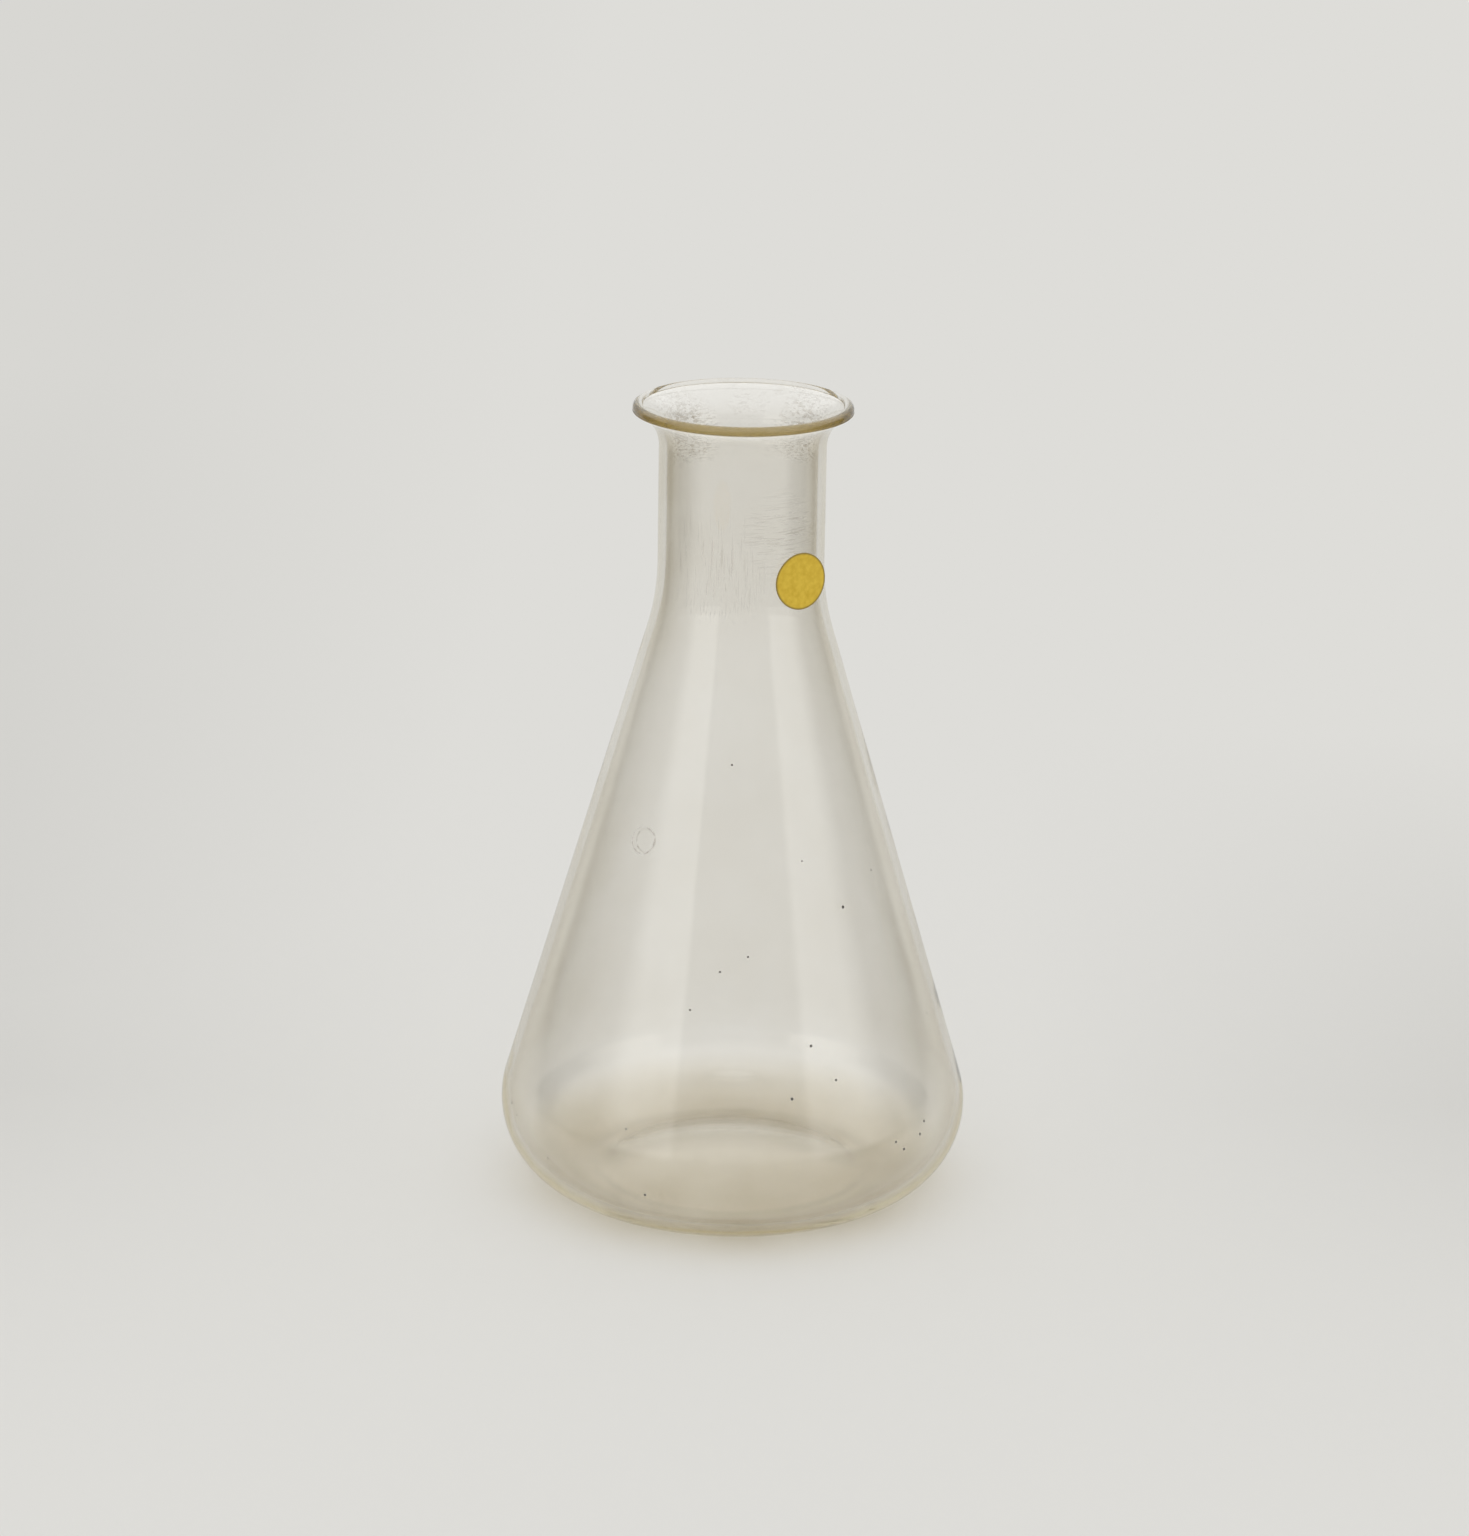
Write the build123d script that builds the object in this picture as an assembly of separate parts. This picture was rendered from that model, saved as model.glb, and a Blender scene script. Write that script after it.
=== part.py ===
from build123d import *
from math import atan2, cos, degrees, hypot, radians, sin, sqrt, tan
import os

# Conical laboratory flask of blown glass, with a round paper dot half stuck to its neck.
# The origin is on the surface under the flask, Z runs up its axis, and its front faces -Y.
# Lengths are in millimetres and angles in degrees. A point of a section is (distance from the axis, height).

# Outside of the glass
body_diameter = 105.0
cone_half_angle = 16.5
heel_radius = 19.5
shoulder_radius = 54.0
neck_diameter = 36.8
neck_length = 26.0

# Rim: the neck flares out and ends in a rolled bead, a little thicker than the wall
flare_radius = 8.4
rim_overhang = 5.8
bead_swell = 0.5
bead_root_radius = 0.5

# Thickness of the glass
neck_wall = 1.9
cone_wall = 1.6
heel_wall = 2.4
push_up_wall = 2.6

# Underside: a narrow flat ring to stand on, round a bottom that is pushed up
ring_width = 2.0
ring_edge_radius = 12.0
push_up_height = 5.0

# Paper dot: stuck down over its left part, and past that it stands off the glass along a tangent
dot_diameter = 12.6
dot_drop = 0.7  # how far the dot's middle is below the neck's lower end
dot_left_azimuth = 24.4  # azimuths count from the front towards +X
dot_lift_azimuth = 33.0
paper_thickness = 0.15
gum_film = 0.03

# How far a blank reaches past what is cut from it
spare = 2.0

slope = radians(cone_half_angle)
neck_radius = neck_diameter / 2
bore_radius = neck_radius - neck_wall
bead_radius = (neck_wall + bead_swell) / 2


class Cone:
    """One face of the cone's wall, given by how far out it lies along its normal."""

    def __init__(self, reach):
        self.reach = reach

    def heel_centre(self, radius, lowest):
        """The centre of a heel arc that touches the cone and, at its lowest point, a level."""
        up = lowest + radius
        return (self.reach - radius - up * sin(slope)) / cos(slope), up

    def shoulder_centre(self, radius, neck):
        """The centre of a shoulder arc that touches the cone and a neck."""
        corner = (self.reach - neck * cos(slope)) / sin(slope)
        return neck + radius, corner + radius * tan(slope / 2)


class Dome:
    """A dome about the axis that runs without a corner into the rounded edge round it."""

    def __init__(self, apex, edge_centre, edge_radius):
        across, up = edge_centre
        rise = apex - (up - edge_radius)
        self.radius = (across**2 + (apex - up) ** 2 - edge_radius**2) / (2 * rise)
        self.centre = (0, apex - self.radius)
        self.end = degrees(atan2(up - self.centre[1], across))


# Outer face, from the bottom up
ring_edge_centre = (body_diameter / 2 - heel_radius - ring_width, ring_edge_radius)
underside = Dome(push_up_height, ring_edge_centre, ring_edge_radius)
heel_centre = (body_diameter / 2 - heel_radius, heel_radius)
outer_cone = Cone(heel_centre[0] * cos(slope) + heel_centre[1] * sin(slope) + heel_radius)
shoulder_centre = outer_cone.shoulder_centre(shoulder_radius, neck_radius)

# Lip: both of its faces turn about one centre, until the middle of the wall meets the bead's centre
lip_centre = (neck_radius + flare_radius, shoulder_centre[1] + neck_length)
lip_across = flare_radius + bead_radius - rim_overhang
lip_up = sqrt((flare_radius + neck_wall / 2) ** 2 - lip_across**2)
lip_end = 180 - degrees(atan2(lip_up, lip_across))
bead_centre = (lip_centre[0] - lip_across, lip_centre[1] + lip_up)

# Inner face
inner_cone = Cone(outer_cone.reach - cone_wall)
inner_shoulder_radius = shoulder_radius + (neck_wall + cone_wall) / 2
inner_shoulder_centre = inner_cone.shoulder_centre(inner_shoulder_radius, bore_radius)
inner_heel_radius = heel_radius - (cone_wall + heel_wall) / 2
inner_heel_centre = inner_cone.heel_centre(inner_heel_radius, heel_wall)
floor = Dome(push_up_height + push_up_wall, inner_heel_centre, inner_heel_radius)


def arc(centre, radius, start, end):
    """The arc of a section from one angle to another, counted from straight outwards."""
    return CenterArc((*centre, 0), radius, start, end - start)


def outline(*curves):
    """The closed face inside curves given in order, with a straight line across each gap."""
    edges = []
    for curve, following in zip(curves, curves[1:] + curves[:1]):
        edges.append(curve)
        if (curve @ 1 - following @ 0).length > 1e-6:
            edges.append(Line(curve @ 1, following @ 0))
    return make_face(edges)


def glass_section():
    """Half of the flask's section: one wall from the middle of the bottom to the bead."""
    wall = outline(
        arc(underside.centre, underside.radius, 90, underside.end),
        arc(ring_edge_centre, ring_edge_radius, 180 + underside.end, 270),
        arc(heel_centre, heel_radius, -90, cone_half_angle),
        arc(shoulder_centre, shoulder_radius, 180 + cone_half_angle, 180),
        arc(lip_centre, flare_radius, 180, lip_end),
        arc(lip_centre, flare_radius + neck_wall, lip_end, 180),
        arc(inner_shoulder_centre, inner_shoulder_radius, 180, 180 + cone_half_angle),
        arc(inner_heel_centre, inner_heel_radius, cone_half_angle, floor.end - 180),
        arc(floor.centre, floor.radius, floor.end, 90),
    )
    section = wall + Pos(*bead_centre) * Circle(bead_radius)
    roots = [
        corner
        for corner in section.vertices()
        if abs(hypot(corner.X - bead_centre[0], corner.Y - bead_centre[1]) - bead_radius) < 1e-4
    ]
    return fillet(roots, bead_root_radius)


def paper_section(low, high):
    """The section of paper that lies on the shoulder and the neck between two heights."""
    foot = 180 + degrees(atan2(shoulder_centre[1] - low, shoulder_radius))
    back = arc(shoulder_centre, shoulder_radius - gum_film, foot, 180)
    face = arc(shoulder_centre, shoulder_radius - gum_film - paper_thickness, 180, foot)
    top = Line((neck_radius + gum_film, high), (neck_radius + gum_film + paper_thickness, high))
    return outline(back, top, face)


def paper_dot():
    """The dot, made with the line where it lifts at azimuth +X and then turned to its place."""
    middle_height = shoulder_centre[1] - dot_drop
    reach = dot_diameter / 2 + spare
    section = Plane.XZ * paper_section(middle_height - reach, middle_height + reach)
    stuck_angle = dot_lift_azimuth - dot_left_azimuth
    free_length = dot_diameter - neck_radius * radians(stuck_angle)
    blank_angle = stuck_angle + degrees(spare / neck_radius)
    stuck = Rot(0, 0, -blank_angle) * revolve(section, Axis.Z, blank_angle)
    free = extrude(section, free_length + spare, dir=(0, 1, 0))
    middle = (neck_radius, free_length - dot_diameter / 2, middle_height)
    punch = Pos(*middle) * Rot(0, 90, 0) * Cylinder(dot_diameter / 2, neck_radius)
    return Rot(0, 0, dot_lift_azimuth - 90) * ((stuck + free) & punch)


parts = {
    "flask": revolve(Plane.XZ * glass_section(), Axis.Z),
    "paper_dot": paper_dot(),
}

os.makedirs("parts", exist_ok=True)
for name, part in parts.items():
    part.label = name
    export_step(part, f"parts/{name}.step")
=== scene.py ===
from math import atan2, cos, degrees, hypot, pi, radians, sin, sqrt, tan

import bpy
from mathutils import Matrix, Vector


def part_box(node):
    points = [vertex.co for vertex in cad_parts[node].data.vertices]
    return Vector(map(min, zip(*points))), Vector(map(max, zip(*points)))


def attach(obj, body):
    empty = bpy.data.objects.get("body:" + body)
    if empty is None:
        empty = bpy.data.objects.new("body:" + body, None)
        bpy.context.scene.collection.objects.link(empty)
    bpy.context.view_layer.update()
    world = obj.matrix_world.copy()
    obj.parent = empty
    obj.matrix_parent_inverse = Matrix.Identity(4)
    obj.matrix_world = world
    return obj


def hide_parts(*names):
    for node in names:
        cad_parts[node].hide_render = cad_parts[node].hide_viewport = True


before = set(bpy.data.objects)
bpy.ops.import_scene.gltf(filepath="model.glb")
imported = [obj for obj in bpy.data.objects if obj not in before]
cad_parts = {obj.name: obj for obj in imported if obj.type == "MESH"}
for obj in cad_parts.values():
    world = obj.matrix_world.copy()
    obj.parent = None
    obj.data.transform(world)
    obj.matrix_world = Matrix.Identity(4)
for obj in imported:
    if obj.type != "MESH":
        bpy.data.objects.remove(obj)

# A blown laboratory flask with a paper dot on its neck. Its origin is on the surface under it, Z runs up its
# axis and its front faces -Y. Lengths are in metres, and those of patterns in millimetres. A point of a
# section is (distance from the axis, height).

bl_info = {
    "name": "Conical Flask",
    "version": (1, 0, 0),
    "blender": (4, 5, 0),
    "location": "View3D > Sidebar > Flask",
    "description": "Blows a conical flask, sticks a paper dot to its neck and lights it on a pale sheet",
    "category": "Object",
}

MM = 0.001
FLASK_LOW, FLASK_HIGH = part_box("flask")
DOT_LOW, DOT_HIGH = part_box("paper_dot")
LONGEST_STEP = 3 * MM       # between two points of the glass's section
SAME_PLACE = 0.0001 * MM    # an arc that starts nearer than this to the last one's end runs on from it
WELD_DISTANCE = 0.002 * MM  # points of the spun glass nearer than this are one
MOST_BOUNCES = 256          # light runs round inside the bead and the heel by very many reflections
WARMTH = 0.97               # how much of a grey's red and green its blue has

# The camera that took the photograph, and the photograph's size in pixels
CAMERA_PLACE = (0, -1.0627, 0.4350)
CAMERA_AIM = (-0.00071, 0, 0.09735)
CAMERA_ROLL = 0.0158
FOCAL_LENGTH = 117.19  # in mm, as the sensor's side
SENSOR_SIDE = 36
PHOTO_WIDTH, PHOTO_HEIGHT = 1469, 1536


def linear(hex_colour):
    """An sRGB hex colour as linear red, green and blue, with an alpha of 1."""
    channels = [int(hex_colour[i : i + 2], 16) / 255 for i in (1, 3, 5)]
    return [*(c / 12.92 if c <= 0.04045 else ((c + 0.055) / 1.055) ** 2.4 for c in channels), 1]


def add_node(tree, kind, inputs=None, stops=None, **settings):
    """Adds a node with its settings, values, links and colour stops, and gives its first output in use."""
    node = tree.nodes.new("ShaderNode" + kind)
    for name, value in settings.items():
        setattr(node, name, value)
    for name, value in (inputs or {}).items():
        if isinstance(value, bpy.types.NodeSocket):
            tree.links.new(value, node.inputs[name])
        else:
            node.inputs[name].default_value = value
    if stops:
        elements = node.color_ramp.elements
        elements.remove(elements[1])
        elements[0].position = stops[0][0]
        elements[0].color = (*stops[0][1], 1)
        for place, colour in stops[1:]:
            elements.new(place).color = (*colour, 1)
    return next((output for output in node.outputs if output.enabled), None)


def new_tree(holder):
    """The emptied node tree of a material or world."""
    holder.use_nodes = True
    holder.node_tree.nodes.clear()
    return holder.node_tree


class FlaskSizes(bpy.types.PropertyGroup):
    """Sizes of the glass, as the real flask has them."""

    body_diameter: bpy.props.FloatProperty(
        name="Body diameter", description="Across the widest part", unit="LENGTH",
        default=FLASK_HIGH.x - FLASK_LOW.x,
    )
    cone_half_angle: bpy.props.FloatProperty(
        name="Cone half angle", description="Between the wall and the axis", subtype="ANGLE",
        default=radians(16.5),
    )
    heel_radius: bpy.props.FloatProperty(
        name="Heel radius", description="Of the turn from the cone to the bottom", unit="LENGTH",
        default=19.5 * MM,
    )
    shoulder_radius: bpy.props.FloatProperty(
        name="Shoulder radius", description="Of the turn from the neck to the cone", unit="LENGTH",
        default=54 * MM,
    )
    neck_diameter: bpy.props.FloatProperty(
        name="Neck diameter", description="Across the outside of the neck", unit="LENGTH", default=36.8 * MM
    )
    neck_length: bpy.props.FloatProperty(
        name="Neck length", description="From the shoulder to the flare", unit="LENGTH", default=26 * MM
    )
    flare_radius: bpy.props.FloatProperty(
        name="Flare radius", description="Of the outside of the flared lip", unit="LENGTH", default=8.4 * MM
    )
    rim_overhang: bpy.props.FloatProperty(
        name="Rim overhang", description="How far the rim stands out past the neck", unit="LENGTH",
        default=5.8 * MM,
    )
    bead_swell: bpy.props.FloatProperty(
        name="Bead swell", description="How much thicker the bead is than the neck's wall", unit="LENGTH",
        default=0.5 * MM,
    )
    bead_root_radius: bpy.props.FloatProperty(
        name="Bead root radius", description="Of the hollow where the bead meets the lip", unit="LENGTH",
        default=0.5 * MM,
    )
    neck_wall: bpy.props.FloatProperty(
        name="Neck wall", description="Thickness of the glass at the neck", unit="LENGTH", default=1.9 * MM
    )
    cone_wall: bpy.props.FloatProperty(
        name="Cone wall", description="Thickness of the glass along the cone", unit="LENGTH", default=1.6 * MM
    )
    heel_wall: bpy.props.FloatProperty(
        name="Heel wall", description="Thickness of the glass over the standing ring", unit="LENGTH",
        default=2.4 * MM,
    )
    push_up_wall: bpy.props.FloatProperty(
        name="Push-up wall", description="Thickness of the glass at the middle of the bottom", unit="LENGTH",
        default=2.6 * MM,
    )
    push_up_height: bpy.props.FloatProperty(
        name="Push-up height", description="How far the middle of the bottom is pushed up", unit="LENGTH",
        default=5 * MM,
    )
    ring_width: bpy.props.FloatProperty(
        name="Ring width", description="Of the flat ring that the flask stands on", unit="LENGTH",
        default=2 * MM,
    )
    ring_edge_radius: bpy.props.FloatProperty(
        name="Ring edge radius", description="Of the turn from the ring to the push-up", unit="LENGTH",
        default=12 * MM,
    )
    round_steps: bpy.props.IntProperty(
        name="Steps round", description="How many faces the glass has round its axis", default=288
    )
    curve_step: bpy.props.FloatProperty(
        name="Curve step", description="The most that the section turns from face to face", subtype="ANGLE",
        default=radians(3),
    )


class FlaskColours(bpy.types.PropertyGroup):
    """Colours of the glass, of what lies on it and of the paper dot."""

    glass_tint: bpy.props.FloatVectorProperty(
        name="Glass tint", description="Of light that has run a long way inside the glass", subtype="COLOR",
        size=4, default=linear("#D4C027"),
    )
    film: bpy.props.FloatVectorProperty(
        name="Film", description="What ten layers of the film on the glass let through", subtype="COLOR",
        size=4, default=linear("#DAD2C0"),
    )
    dirt: bpy.props.FloatVectorProperty(
        name="Dirt", description="Of the grime in the mouth and the scratches", subtype="COLOR",
        size=4, default=linear("#7C6A48"),
    )
    specks: bpy.props.FloatVectorProperty(
        name="Specks", description="Of the small specks baked on to the glass", subtype="COLOR",
        size=4, default=linear("#2E2A22"),
    )
    paper: bpy.props.FloatVectorProperty(
        name="Paper", description="Of the dot's lighter fibres", subtype="COLOR",
        size=4, default=linear("#DABA3E"),
    )
    paper_shade: bpy.props.FloatVectorProperty(
        name="Paper shade", description="Of the dot's darker fibres", subtype="COLOR",
        size=4, default=linear("#C9A62A"),
    )
    paper_edge: bpy.props.FloatVectorProperty(
        name="Paper edge", description="Of the dot's cut edge", subtype="COLOR",
        size=4, default=linear("#8A7430"),
    )


class StageSettings(bpy.types.PropertyGroup):
    """Where the camera stands and what the flask is shown on."""

    sheet: bpy.props.FloatVectorProperty(
        name="Sheet", description="Of the sheet and the backdrop", subtype="COLOR",
        size=4, default=linear("#DEDDD9"),
    )
    sheet_shade: bpy.props.FloatVectorProperty(
        name="Sheet shade", description="Of the sheet where less light reaches it", subtype="COLOR",
        size=4, default=linear("#CCCBC7"),
    )
    floor_side: bpy.props.FloatProperty(
        name="Floor side", description="Side of the pale floor", unit="LENGTH", default=9.0
    )
    camera_place: bpy.props.FloatVectorProperty(
        name="Camera place", description="Where the camera stands", subtype="XYZ", unit="LENGTH",
        default=CAMERA_PLACE,
    )
    camera_aim: bpy.props.FloatVectorProperty(
        name="Camera aim", description="The point in the middle of the picture", subtype="XYZ", unit="LENGTH",
        default=CAMERA_AIM,
    )
    camera_roll: bpy.props.FloatProperty(
        name="Camera roll", description="Turn of the camera about its own line of sight", subtype="ANGLE",
        default=CAMERA_ROLL,
    )
    focal_length: bpy.props.FloatProperty(
        name="Focal length", description="Of the lens, in mm on a 36 mm sensor", default=FOCAL_LENGTH
    )


def clear_selection():
    if bpy.context.object and bpy.context.object.mode != "OBJECT":
        bpy.ops.object.mode_set(mode="OBJECT")
    bpy.ops.object.select_all(action="DESELECT")


def turned_camera(place, aim, roll):
    """The matrix of a camera at a place, aimed at a point and rolled about its line of sight."""
    place = Vector(place)
    facing = (Vector(aim) - place).to_track_quat("-Z", "Y").to_matrix().to_4x4()
    return Matrix.Translation(place) @ facing @ Matrix.Rotation(roll, 4, "Z")


def at_angle(centre, radius, angle):
    """The point of a circle at an angle in degrees, counted from straight outwards."""
    return centre[0] + radius * cos(radians(angle)), centre[1] + radius * sin(radians(angle))


def angle_to(centre, point):
    return degrees(atan2(point[1] - centre[1], point[0] - centre[0]))


def circles_meeting(centre_a, radius_a, centre_b, radius_b, side):
    """Where two circles meet: side 1 is to the left of the line from a to b, and -1 to its right."""
    across, up = centre_b[0] - centre_a[0], centre_b[1] - centre_a[1]
    apart = hypot(across, up)
    along = (apart**2 + radius_a**2 - radius_b**2) / (2 * apart)
    off = side * sqrt(radius_a**2 - along**2)
    return (
        centre_a[0] + (along * across - off * up) / apart,
        centre_a[1] + (along * up + off * across) / apart,
    )


class Dome:
    """A dome about the axis that runs without a corner into the rounded edge round it."""

    def __init__(self, apex, edge_centre, edge_radius):
        across, up = edge_centre
        rise = apex - (up - edge_radius)
        self.radius = (across**2 + (apex - up) ** 2 - edge_radius**2) / (2 * rise)
        self.centre = (0, apex - self.radius)
        self.end = angle_to(self.centre, edge_centre)


def flask_section(s):
    """The arcs of the glass's section, each (centre, radius, start angle, end angle), in order from the
    middle of the underside, out and up to the bead, and down the inside to the middle of the floor."""
    slope = s.cone_half_angle
    slant = degrees(slope)
    neck = s.neck_diameter / 2
    bore = neck - s.neck_wall

    def heel_centre(reach, radius, lowest):
        up = lowest + radius
        return (reach - radius - up * sin(slope)) / cos(slope), up

    def shoulder_centre(reach, radius, neck_radius):
        corner = (reach - neck_radius * cos(slope)) / sin(slope)
        return neck_radius + radius, corner + radius * tan(slope / 2)

    heel = (s.body_diameter / 2 - s.heel_radius, s.heel_radius)
    reach = heel[0] * cos(slope) + heel[1] * sin(slope) + s.heel_radius
    ring_edge = (heel[0] - s.ring_width, s.ring_edge_radius)
    underside = Dome(s.push_up_height, ring_edge, s.ring_edge_radius)
    shoulder = shoulder_centre(reach, s.shoulder_radius, neck)

    inner_reach = reach - s.cone_wall
    inner_shoulder_radius = s.shoulder_radius + (s.neck_wall + s.cone_wall) / 2
    inner_shoulder = shoulder_centre(inner_reach, inner_shoulder_radius, bore)
    inner_heel_radius = s.heel_radius - (s.cone_wall + s.heel_wall) / 2
    inner_heel = heel_centre(inner_reach, inner_heel_radius, s.heel_wall)
    floor = Dome(s.push_up_height + s.push_up_wall, inner_heel, inner_heel_radius)

    bead_radius = (s.neck_wall + s.bead_swell) / 2
    lip = (neck + s.flare_radius, shoulder[1] + s.neck_length)
    lip_inner_radius = s.flare_radius + s.neck_wall
    lip_across = s.flare_radius + bead_radius - s.rim_overhang
    lip_up = sqrt((s.flare_radius + s.neck_wall / 2) ** 2 - lip_across**2)
    bead = (lip[0] - lip_across, lip[1] + lip_up)
    root = s.bead_root_radius
    outer_root = circles_meeting(lip, s.flare_radius - root, bead, bead_radius + root, -1)
    inner_root = circles_meeting(lip, lip_inner_radius + root, bead, bead_radius + root, 1)
    outer_lip_end = angle_to(lip, outer_root)
    inner_lip_end = angle_to(lip, inner_root)

    return [
        (underside.centre, underside.radius, 90, underside.end),
        (ring_edge, s.ring_edge_radius, 180 + underside.end, 270),
        (heel, s.heel_radius, -90, slant),
        (shoulder, s.shoulder_radius, 180 + slant, 180),
        (lip, s.flare_radius, 180, outer_lip_end),
        (outer_root, root, outer_lip_end, angle_to(outer_root, bead)),
        (bead, bead_radius, angle_to(bead, outer_root), angle_to(bead, inner_root)),
        (inner_root, root, angle_to(inner_root, bead), inner_lip_end - 180),
        (lip, lip_inner_radius, inner_lip_end, 180),
        (inner_shoulder, inner_shoulder_radius, 180, 180 + slant),
        (inner_heel, inner_heel_radius, slant, floor.end - 180),
        (floor.centre, floor.radius, floor.end, 90),
    ]


def draw_section(arcs, curve_step, longest):
    """Draws a section in edit mode, from one vertex that is spun round each arc and extruded to the next."""

    def end_vertex():
        mesh = bpy.context.object.data
        bpy.ops.object.mode_set(mode="OBJECT")
        chosen = [v.co.copy() for v in mesh.vertices if v.select]
        bpy.ops.object.mode_set(mode="EDIT")
        return chosen[-1]

    for centre, radius, start, end in arcs:
        across, up = at_angle(centre, radius, start)
        gap = Vector((across, 0, up)) - end_vertex()
        if gap.length > SAME_PLACE:
            pieces = max(1, round(gap.length / longest))
            for _ in range(pieces):
                bpy.ops.mesh.extrude_region_move(TRANSFORM_OT_translate={"value": gap / pieces})
        turn = radians(end - start)
        steps = max(2, round(max(abs(turn) / curve_step, abs(turn) * radius / longest)))
        bpy.ops.mesh.spin(
            steps=steps, angle=turn, center=(centre[0], 0, centre[1]), axis=(0, 1, 0), use_auto_merge=False
        )


class FLASK_OT_glass(bpy.types.Operator):
    """Spin the flask's section into one closed wall of blown glass"""

    bl_idname = "flask.glass"
    bl_label = "Blow the Flask"

    def execute(self, context):
        sizes = context.scene.flask_sizes
        clear_selection()
        bpy.ops.mesh.primitive_plane_add(size=1 * MM)
        glass = context.object
        glass.name = glass.data.name = "blown_flask"
        bpy.ops.object.mode_set(mode="EDIT")
        bpy.ops.mesh.select_all(action="SELECT")
        bpy.ops.mesh.merge(type="CENTER")
        bpy.ops.transform.translate(value=(0, 0, sizes.push_up_height))
        draw_section(flask_section(sizes), sizes.curve_step, LONGEST_STEP)
        bpy.ops.mesh.select_all(action="SELECT")
        bpy.ops.mesh.spin(steps=sizes.round_steps, angle=2 * pi, center=(0, 0, 0), axis=(0, 0, 1))
        bpy.ops.mesh.select_all(action="SELECT")
        bpy.ops.mesh.remove_doubles(threshold=WELD_DISTANCE)
        bpy.ops.mesh.normals_make_consistent(inside=False)
        bpy.ops.object.mode_set(mode="OBJECT")
        bpy.ops.object.transform_apply(location=True, rotation=True, scale=True)
        bpy.ops.object.shade_smooth()
        glass.data.materials.append(blown_glass(glass))
        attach(glass, "root")
        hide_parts("flask")
        return {"FINISHED"}


def in_millimetres(tree):
    """A piece's own coordinates in millimetres."""
    place = add_node(tree, "TexCoord").node.outputs["Object"]
    return add_node(tree, "VectorMath", {0: place, "Scale": 1 / MM}, operation="SCALE")


def clouds(tree, place, grain, detail, readings=(0, 1), values=(0, 1), stretch=(1, 1, 1)):
    """Cloudy patches about as large as the grain, in millimetres.

    They have the first value where the noise is under the first reading, the second value where it is over
    the second reading, and an even change between them.
    """
    stretched = add_node(tree, "VectorMath", {0: place, 1: [1 / s for s in stretch]}, operation="MULTIPLY")
    reading = add_node(tree, "TexNoise", {"Vector": stretched, "Scale": 1 / grain, "Detail": detail})
    low, high = readings
    at_low, at_high = values
    return add_node(
        tree, "MapRange",
        {"Value": reading, "From Min": low, "From Max": high, "To Min": at_low, "To Max": at_high},
    )


def spot(tree, place, centre, inner, outer):
    """1 within the inner distance of a point and 0 past the outer one, in millimetres."""
    distance = add_node(tree, "VectorMath", {0: place, 1: centre}, operation="DISTANCE")
    return add_node(
        tree, "MapRange", {"Value": distance, "From Min": inner, "From Max": outer, "To Min": 1, "To Max": 0}
    )


def at_pixel(glass, x, y):
    """The place on the glass, in millimetres, that the photograph shows at a pixel."""
    camera = turned_camera(CAMERA_PLACE, CAMERA_AIM, CAMERA_ROLL)
    depth = FOCAL_LENGTH / SENSOR_SIDE * PHOTO_HEIGHT
    sight = camera.to_3x3() @ Vector((x - PHOTO_WIDTH / 2, PHOTO_HEIGHT / 2 - y, -depth))
    found, place, _, _ = glass.ray_cast(CAMERA_PLACE, sight)
    if not found:
        raise RuntimeError(f"The photograph shows no glass at {x}, {y}.")
    return place / MM


# Specks of dirt baked on to the glass, listed as places in the photograph: (x and y in pixels, radius in mm)
SPECKS = (
    (811, 1046, 0.35), (792, 1099, 0.35), (732, 765, 0.25), (843, 907, 0.4), (720, 972, 0.25),
    (690, 1010, 0.25), (748, 957, 0.25), (802, 861, 0.2), (871, 870, 0.2), (512, 1103, 0.3),
    (548, 1158, 0.25), (645, 1195, 0.3), (896, 1142, 0.3), (904, 1149, 0.35), (920, 1134, 0.35),
    (924, 1121, 0.3), (626, 1129, 0.2), (836, 1080, 0.3), (517, 1115, 0.2), (927, 1013, 0.2),
)
# The ring that a drop left, in the same way, and half the width of its line in mm
RING_MARK = (643, 840, 3.0)
RING_LINE = 0.3
GLASS_IOR = 1.5
SQUARE_REFLECTION = 0.04  # the share of light that such glass reflects where it is seen square on
TINT_DENSITY = 4.5        # per metre, how fast light takes on the tint inside the glass
WAVE_HEIGHT = 0.06 * MM   # of the slight waves that blowing leaves
FILM_LAYERS = 10          # how many layers give the film's colour
EXTRA_LAYERS = 9          # how many more layers light crosses at the outline than square on


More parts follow.
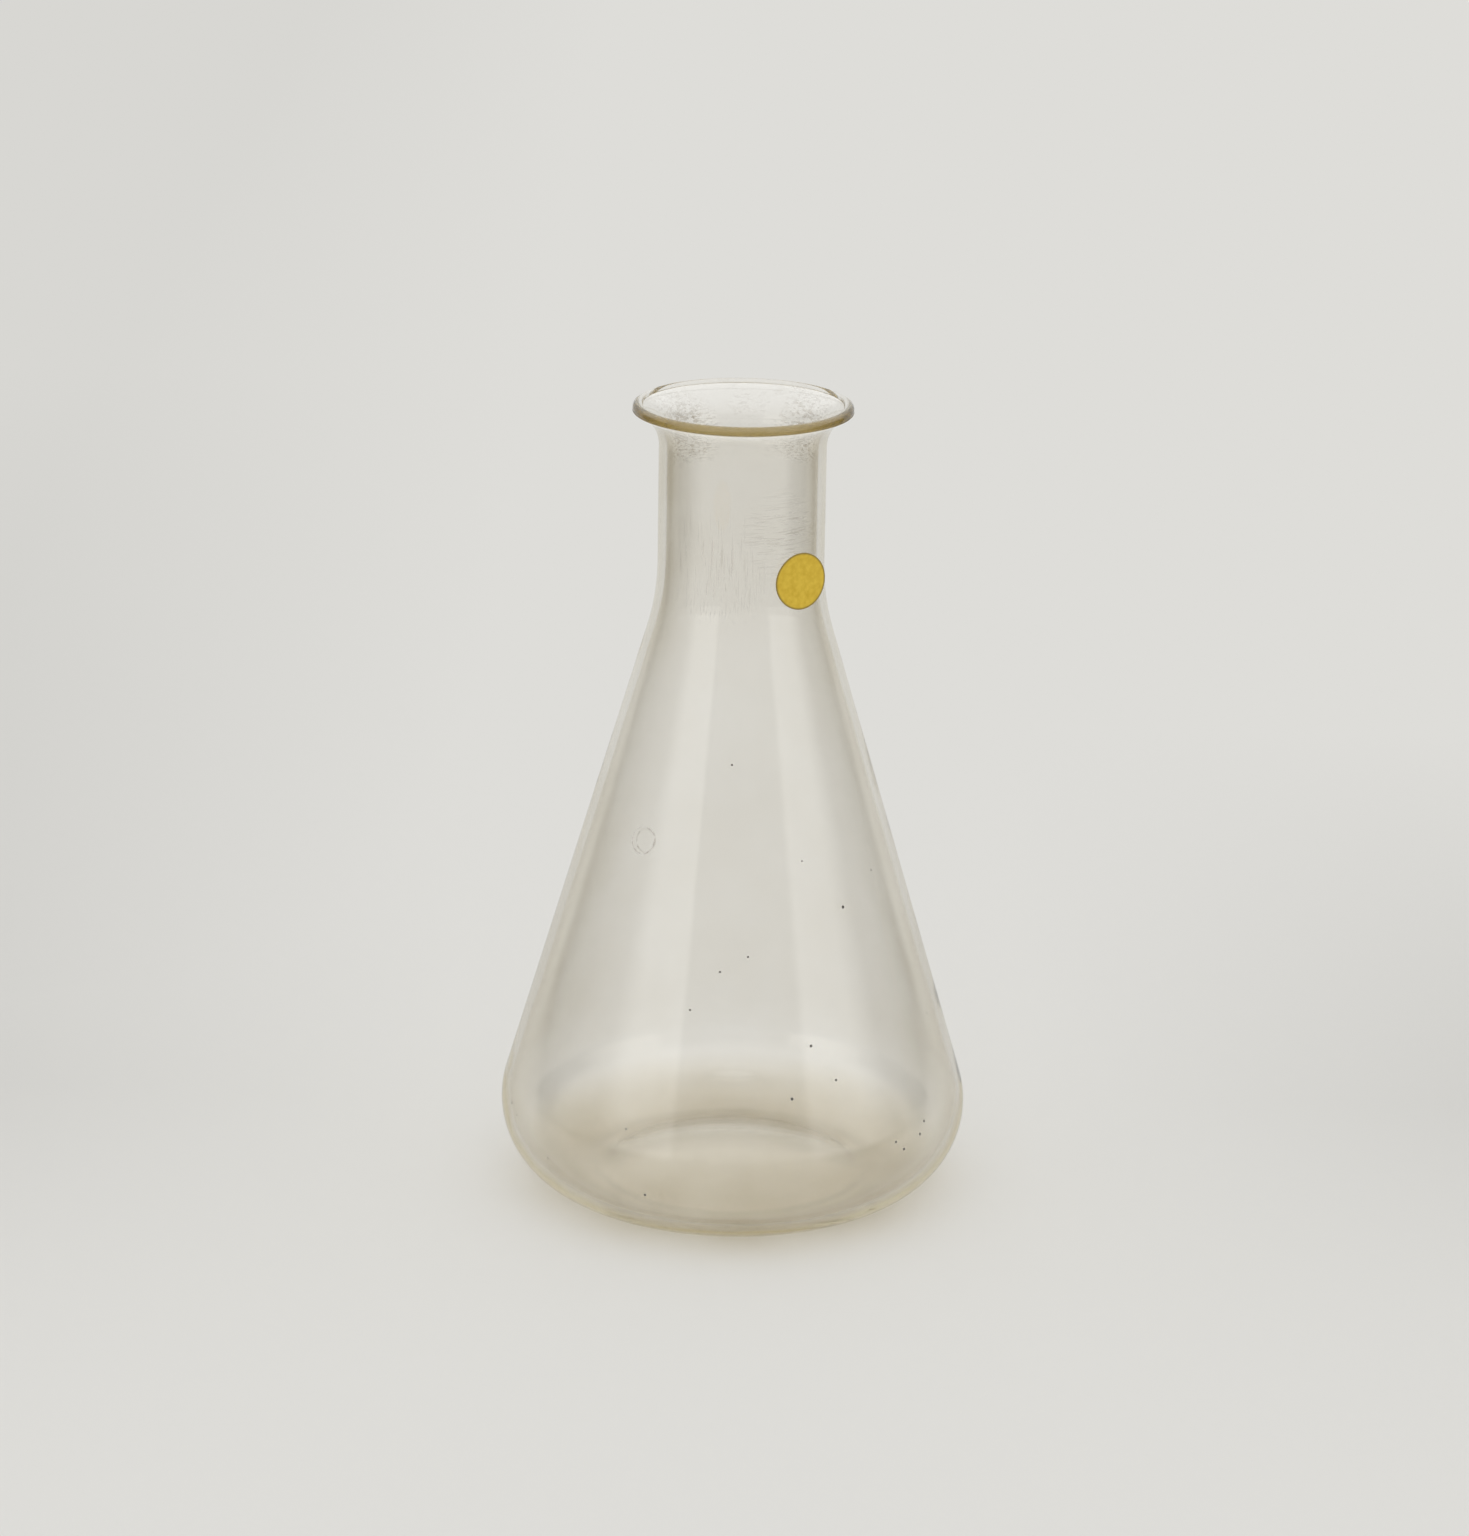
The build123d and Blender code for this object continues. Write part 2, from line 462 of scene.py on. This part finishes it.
def film(tree, place, height):
    """The colour of a thin brownish film. It is deeper where the glass is seen at a slant, up the neck and
    over the bottom, and nearly gone from the bead."""
    fresnel = add_node(tree, "Fresnel", {"IOR": GLASS_IOR})
    slant = add_node(tree, "Math", {0: fresnel, 1: SQUARE_REFLECTION}, operation="SUBTRACT")
    slant = add_node(tree, "Math", {0: slant, 1: 0}, operation="MAXIMUM")
    slant = add_node(tree, "Math", {0: slant, 1: 0.75}, operation="POWER")
    slant = add_node(tree, "Math", {0: slant, 1: EXTRA_LAYERS, 2: 1}, operation="MULTIPLY_ADD")
    up_the_neck = add_node(
        tree, "MapRange", {"Value": height, "From Min": 120, "From Max": 150, "To Min": 1, "To Max": 1.7}
    )
    off_the_bead = add_node(
        tree, "MapRange", {"Value": height, "From Min": 174, "From Max": 178, "To Min": 1, "To Max": 0.3}
    )
    over_the_bottom = add_node(
        tree, "MapRange", {"Value": height, "From Min": 11, "From Max": 3.5, "To Min": 1, "To Max": 7}
    )
    on_walls = add_node(tree, "Math", {0: up_the_neck, 1: off_the_bead}, operation="MULTIPLY")
    on_walls = add_node(tree, "Math", {0: on_walls, 1: slant}, operation="MULTIPLY")
    layers = add_node(tree, "Math", {0: on_walls, 1: over_the_bottom}, operation="MAXIMUM")
    layers = add_node(tree, "Math", {0: layers, 1: 1 / FILM_LAYERS}, operation="MULTIPLY")
    patches = clouds(tree, place, grain=22, detail=3, readings=(0.3, 0.7), values=(0.75, 1.25))
    power = add_node(tree, "Math", {0: layers, 1: patches}, operation="MULTIPLY")
    return add_node(tree, "Gamma", {"Color": bpy.context.scene.flask_colours.film, "Gamma": power})


def baked_specks(tree, place, glass):
    """1 on small specks of dirt, with slightly soft edges."""
    specks = 0
    for x, y, radius in SPECKS:
        speck = spot(tree, place, at_pixel(glass, x, y), inner=0.6 * radius, outer=1.3 * radius)
        specks = add_node(tree, "Math", {0: specks, 1: speck}, operation="MAXIMUM")
    return specks


def ring_mark(tree, place, glass):
    """A faint ring, broken in places, as a drop leaves when it dries."""
    x, y, radius = RING_MARK
    centre = at_pixel(glass, x, y)
    inside = spot(tree, place, centre, inner=radius - RING_LINE, outer=radius)
    within = spot(tree, place, centre, inner=radius, outer=radius + RING_LINE)
    line = add_node(tree, "Math", {0: within, 1: inside}, operation="SUBTRACT")
    broken = clouds(tree, place, grain=1.4, detail=2, readings=(0.40, 0.62), values=(0.05, 0.7))
    return add_node(tree, "Math", {0: line, 1: broken}, operation="MULTIPLY")


def mouth_grime(tree, place, height, normal):
    """Grainy grime on the inside of the mouth, mostly at the back on both sides."""
    level = add_node(tree, "VectorMath", {0: place, 1: (1, 1, 0)}, operation="MULTIPLY")
    outward = add_node(tree, "VectorMath", {0: level, 1: normal}, operation="DOT_PRODUCT")
    inside = add_node(tree, "Math", {0: outward, 1: 0}, operation="LESS_THAN")
    near_the_top = add_node(tree, "MapRange", {"Value": height, "From Min": 163, "From Max": 169})
    back_left = spot(tree, place, (-14, 11, 171), inner=4, outer=11)
    back_right = spot(tree, place, (15, 10, 172), inner=4, outer=10)
    sides = add_node(tree, "Math", {0: back_left, 1: back_right}, operation="MAXIMUM")
    elsewhere = clouds(tree, place, grain=7, detail=2, readings=(0.5, 0.7), values=(0, 0.3))
    patches = add_node(tree, "Math", {0: sides, 1: 0.8, 2: elsewhere}, operation="MULTIPLY_ADD")
    grime = clouds(
        tree, place, grain=0.7, detail=3, readings=(0.50, 0.62), values=(0, 0.65), stretch=(2.2, 2.2, 0.8)
    )
    for mask in (inside, near_the_top, patches):
        grime = add_node(tree, "Math", {0: grime, 1: mask}, operation="MULTIPLY")
    return grime


def neck_scratches(tree, place, height):
    """Fine scratches on the neck, drawn coarser than they are to show: upright ones left of the front, and
    level ones above the dot."""
    above_the_shoulder = add_node(tree, "MapRange", {"Value": height, "From Min": 128, "From Max": 138})
    below_the_lip = add_node(tree, "MapRange", {"Value": height, "From Min": 168, "From Max": 160})
    left_of_the_front = spot(tree, place, (-7, -17, 148), inner=6, outer=16)
    upright = clouds(
        tree, place, grain=0.35, detail=1, readings=(0.62, 0.70), values=(0, 0.3), stretch=(1, 1, 26)
    )
    for mask in (above_the_shoulder, below_the_lip, left_of_the_front):
        upright = add_node(tree, "Math", {0: upright, 1: mask}, operation="MULTIPLY")
    above_the_dot = spot(tree, place, (10, -15.5, 155), inner=4, outer=12)
    level = clouds(
        tree, place, grain=0.35, detail=1, readings=(0.58, 0.66), values=(0, 0.35), stretch=(14, 14, 1)
    )
    level = add_node(tree, "Math", {0: level, 1: above_the_dot}, operation="MULTIPLY")
    return add_node(tree, "Math", {0: upright, 1: level}, operation="MAXIMUM")


def blown_glass(glass):
    """Soda-lime glass, blown and fire-polished: clear and smooth, with slight waves from the blowing, and an
    olive tint where light runs along inside it, as in the bead and the heel.

    It is old and unwashed. A brownish film and pale dust lie on it, with specks, scratches and grime. Dust
    and dirt cover it only for light from the air, because light that runs along inside passes them by.
    """
    colours = bpy.context.scene.flask_colours
    material = bpy.data.materials.new("blown_soda_lime_glass")
    tree = new_tree(material)
    place = in_millimetres(tree)
    height = add_node(tree, "SeparateXYZ", {0: place}).node.outputs["Z"]
    geometry = add_node(tree, "NewGeometry").node.outputs

    specks = baked_specks(tree, place, glass)
    dirt = specks
    for mark in (
        ring_mark(tree, place, glass),
        mouth_grime(tree, place, height, geometry["Normal"]),
        neck_scratches(tree, place, height),
    ):
        dirt = add_node(tree, "Math", {0: dirt, 1: mark}, operation="MAXIMUM")
    dirt_colour = add_node(
        tree, "Mix", {"Factor": specks, "A": colours.dirt, "B": colours.specks}, data_type="RGBA"
    )
    colour = add_node(
        tree, "Mix", {"Factor": dirt, "A": film(tree, place, height), "B": dirt_colour}, data_type="RGBA"
    )
    haze = clouds(tree, place, grain=9, detail=4, readings=(0.35, 0.75), values=(0.012, 0.05))
    covered = add_node(tree, "Math", {0: dirt, 1: haze}, operation="ADD", use_clamp=True)
    from_the_air = add_node(tree, "Math", {0: 1, 1: geometry["Backfacing"]}, operation="SUBTRACT")
    covered = add_node(tree, "Math", {0: covered, 1: from_the_air}, operation="MULTIPLY")
    clear = add_node(tree, "Math", {0: 1, 1: covered}, operation="SUBTRACT")

    waves = clouds(tree, place, grain=16, detail=1)
    wavy = add_node(tree, "Bump", {"Height": waves, "Distance": WAVE_HEIGHT, "Strength": 1})
    surface = add_node(
        tree, "BsdfPrincipled",
        {"Base Color": colour, "Roughness": 0, "IOR": GLASS_IOR, "Transmission Weight": clear,
         "Normal": wavy},
    )
    volume = add_node(tree, "VolumeAbsorption", {"Color": colours.glass_tint, "Density": TINT_DENSITY})
    add_node(tree, "OutputMaterial", {"Surface": surface, "Volume": volume})
    return material


def dot_paper():
    """Wood-free paper, dyed yellow and punched: matt, with slightly uneven fibres and a darker cut edge."""
    colours = bpy.context.scene.flask_colours
    material = bpy.data.materials.new("dyed_yellow_paper")
    tree = new_tree(material)
    place = in_millimetres(tree)
    fibres = clouds(tree, place, grain=1.1, detail=4, readings=(0.3, 0.7))
    face_colour = add_node(
        tree, "Mix", {"Factor": fibres, "A": colours.paper_shade, "B": colours.paper}, data_type="RGBA"
    )
    middle = [(low + high) / 2 / MM for low, high in zip(DOT_LOW, DOT_HIGH)]
    face = spot(tree, place, middle, inner=5.8, outer=6.2)
    colour = add_node(
        tree, "Mix", {"Factor": face, "A": colours.paper_edge, "B": face_colour}, data_type="RGBA"
    )
    surface = add_node(tree, "BsdfPrincipled", {"Base Color": colour, "Roughness": 0.8})
    add_node(tree, "OutputMaterial", {"Surface": surface})
    return material


class FLASK_OT_paper_dot(bpy.types.Operator):
    """Finish the paper dot on the neck"""

    bl_idname = "flask.paper_dot"
    bl_label = "Finish the Paper Dot"

    def execute(self, context):
        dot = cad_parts["paper_dot"]
        dot.data.materials.clear()
        dot.data.materials.append(dot_paper())
        return {"FINISHED"}


def seen_directly(tree):
    """1 on every path to the eye that has met nothing matt, and 0 on those that light the matt surfaces."""
    path = add_node(tree, "LightPath").node.outputs
    return add_node(tree, "Math", {0: path["Diffuse Depth"], 1: 0.5}, operation="LESS_THAN")


def in_reflection(tree):
    """1 for what the glass mirrors once, and 0 for what is seen straight or through the glass, is led along
    inside its thick edges, or only lights."""
    path = add_node(tree, "LightPath").node.outputs
    mirrored = add_node(tree, "Math", {0: path["Glossy Depth"], 1: 1, 2: 0.5}, operation="COMPARE")
    return add_node(tree, "Math", {0: mirrored, 1: seen_directly(tree)}, operation="MULTIPLY")


def room_round_the_flask(tree, x, y, stops):
    """A warm grey that changes with the azimuth, given as (degrees from +Y towards +X, brightness)."""
    azimuth = add_node(tree, "Math", {0: x, 1: y}, operation="ARCTAN2")
    turn = add_node(tree, "MapRange", {"Value": azimuth, "From Min": -pi, "From Max": pi})
    return add_node(
        tree, "ValToRGB", {"Fac": turn},
        stops=[(0.5 + angle / 360, (grey, grey, WARMTH * grey)) for angle, grey in stops],
    )


def fall_off(tree, x, y):
    """How much less light reaches the sheet: in a band on both sides, and behind the flask to its left."""
    back = add_node(tree, "MapRange", {"Value": y, "From Min": -0.2, "From Max": 0.8})
    band_stops = ((0, 0), (0.13, 0.25), (0.25, 0.75), (0.31, 0.6), (0.42, 0.3), (0.55, 0))
    band = add_node(
        tree, "ValToRGB", {"Fac": back}, stops=[(at, (grey, grey, grey)) for at, grey in band_stops]
    )
    behind_stops = ((0.2, 0.1), (0.31, 0.9), (0.7, 0.55), (1, 0.35))
    behind = add_node(
        tree, "ValToRGB", {"Fac": back}, stops=[(at, (grey, grey, grey)) for at, grey in behind_stops]
    )
    aside = add_node(tree, "Math", {0: x}, operation="ABSOLUTE")
    at_the_sides = add_node(tree, "MapRange", {"Value": aside, "From Min": 0.07, "From Max": 0.19})
    at_the_left = add_node(tree, "MapRange", {"Value": x, "From Min": -0.08, "From Max": -0.24})
    low = add_node(tree, "Math", {0: band, 1: at_the_sides}, operation="MULTIPLY")
    left = add_node(tree, "Math", {0: behind, 1: at_the_left}, operation="MULTIPLY")
    deeper = add_node(tree, "Math", {0: low, 1: left}, operation="MAXIMUM")
    near_by = add_node(tree, "MapRange", {"Value": aside, "From Min": 1.4, "From Max": 0.5})
    return add_node(tree, "Math", {0: deeper, 1: near_by}, operation="MULTIPLY")


def sheet_paper():
    """Matt pale paper, with painted shade where less light would reach it. What the glass mirrors of it is a
    painted reflection, darker near the flask, past its sides and in front, as in a room.
    """
    stage = bpy.context.scene.flask_stage
    material = bpy.data.materials.new("matt_background_paper")
    tree = new_tree(material)
    place = add_node(tree, "TexCoord").node.outputs["Object"]
    parts = add_node(tree, "SeparateXYZ", {0: place}).node.outputs
    distance = add_node(tree, "VectorMath", {0: place}, operation="LENGTH")
    far = add_node(tree, "MapRange", {"Value": distance, "From Min": 0.22, "From Max": 0.55})
    room = room_round_the_flask(
        tree, parts["X"], parts["Y"],
        ((-180, 0.50), (-112, 0.60), (-100, 0.02), (-57, 0.02), (-50, 0.66), (0, 0.76), (50, 0.66),
         (57, 0.02), (105, 0.02), (114, 0.50), (150, 0.45), (180, 0.45)),
    )
    # Painted reflection: the glass mirrors the sheet as a flat darker grey near the flask and as the room's
    # greys farther off.
    mirrored = add_node(tree, "Mix", {"Factor": far, "A": linear("#CFCECA"), "B": room}, data_type="RGBA")
    # Painted shade: the sheet's colour darkens towards its shade colour where less light would reach it.
    shade = fall_off(tree, parts["X"], parts["Y"])
    seen = add_node(
        tree, "Mix", {"Factor": shade, "A": stage.sheet, "B": stage.sheet_shade}, data_type="RGBA"
    )
    colour = add_node(
        tree, "Mix", {"Factor": in_reflection(tree), "A": seen, "B": mirrored}, data_type="RGBA"
    )
    surface = add_node(tree, "BsdfDiffuse", {"Color": colour})
    add_node(tree, "OutputMaterial", {"Surface": surface})
    return material


def studio_world():
    """Even pale light. The glass mirrors a room: a lit sheet behind, dark sides, two pale cards and a pale
    ceiling."""
    stage = bpy.context.scene.flask_stage
    world = bpy.data.worlds.new("studio")
    tree = new_tree(world)
    direction = add_node(tree, "TexCoord").node.outputs["Generated"]
    parts = add_node(tree, "SeparateXYZ", {0: direction}).node.outputs
    room = room_round_the_flask(
        tree, parts["X"], parts["Y"],
        ((-180, 0.76), (-152, 0.80), (-149, 1.60), (-122, 1.50), (-108, 0.50), (-80, 0.04), (-56, 0.02),
         (-50, 0.74), (0, 0.80), (50, 0.74), (56, 0.02), (92, 0.02), (110, 1.25), (138, 1.50), (143, 0.74),
         (180, 0.74)),
    )
    above = add_node(tree, "MapRange", {"Value": parts["Z"], "From Min": 0.26, "From Max": 0.46})
    ceiling = add_node(
        tree, "ValToRGB", {"Fac": parts["Z"]}, stops=[(0.3, (1.25, 1.25, 1.22)), (0.9, (1.8, 1.8, 1.76))]
    )
    mirrored = add_node(tree, "Mix", {"Factor": above, "A": room, "B": ceiling}, data_type="RGBA")
    backdrop = add_node(
        tree, "Mix", {"Factor": seen_directly(tree), "A": (1, 1, 1, 1), "B": stage.sheet}, data_type="RGBA"
    )
    colour = add_node(
        tree, "Mix", {"Factor": in_reflection(tree), "A": backdrop, "B": mirrored}, data_type="RGBA"
    )
    light = add_node(tree, "Background", {"Color": colour, "Strength": 1})
    add_node(tree, "OutputWorld", {"Surface": light})
    world.cycles.sampling_method = "NONE"
    return world


class FLASK_OT_stage(bpy.types.Operator):
    """Lay the pale sheet, light it softly and set up the camera"""

    bl_idname = "flask.stage"
    bl_label = "Set the Stage"

    def execute(self, context):
        stage = context.scene.flask_stage
        clear_selection()
        bpy.ops.mesh.primitive_plane_add(size=stage.floor_side, location=(0, 0, 0))
        floor = context.object
        floor.name = floor.data.name = "pale_sheet"
        floor.data.materials.append(sheet_paper())
        context.scene.world = studio_world()

        bpy.ops.object.camera_add(location=stage.camera_place)
        camera = context.object
        camera.name = "camera"
        camera.matrix_world = turned_camera(stage.camera_place, stage.camera_aim, stage.camera_roll)
        camera.data.sensor_width = SENSOR_SIDE
        camera.data.lens = stage.focal_length
        camera.data.clip_end = 50
        context.scene.camera = camera

        cycles = context.scene.cycles
        cycles.max_bounces = cycles.transmission_bounces = cycles.glossy_bounces = MOST_BOUNCES
        cycles.blur_glossy = 0
        context.scene.view_settings.view_transform = "Standard"
        return {"FINISHED"}


class FLASK_PT_panel(bpy.types.Panel):
    """Shows a button for each of the flask's operators in the sidebar"""

    bl_idname = "FLASK_PT_panel"
    bl_label = "Conical Flask"
    bl_space_type = "VIEW_3D"
    bl_region_type = "UI"
    bl_category = "Flask"

    def draw(self, context):
        for operator in OPERATORS:
            self.layout.operator(operator.bl_idname)


OPERATORS = (FLASK_OT_glass, FLASK_OT_paper_dot, FLASK_OT_stage)
CLASSES = (FlaskSizes, FlaskColours, StageSettings, *OPERATORS, FLASK_PT_panel)


def register():
    for cls in CLASSES:
        bpy.utils.register_class(cls)
    bpy.types.Scene.flask_sizes = bpy.props.PointerProperty(type=FlaskSizes)
    bpy.types.Scene.flask_colours = bpy.props.PointerProperty(type=FlaskColours)
    bpy.types.Scene.flask_stage = bpy.props.PointerProperty(type=StageSettings)


def unregister():
    del bpy.types.Scene.flask_stage
    del bpy.types.Scene.flask_colours
    del bpy.types.Scene.flask_sizes
    for cls in reversed(CLASSES):
        bpy.utils.unregister_class(cls)


def main():
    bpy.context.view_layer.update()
    register()
    bpy.ops.flask.glass()
    bpy.ops.flask.paper_dot()
    bpy.ops.flask.stage()


if __name__ == "__main__":
    main()
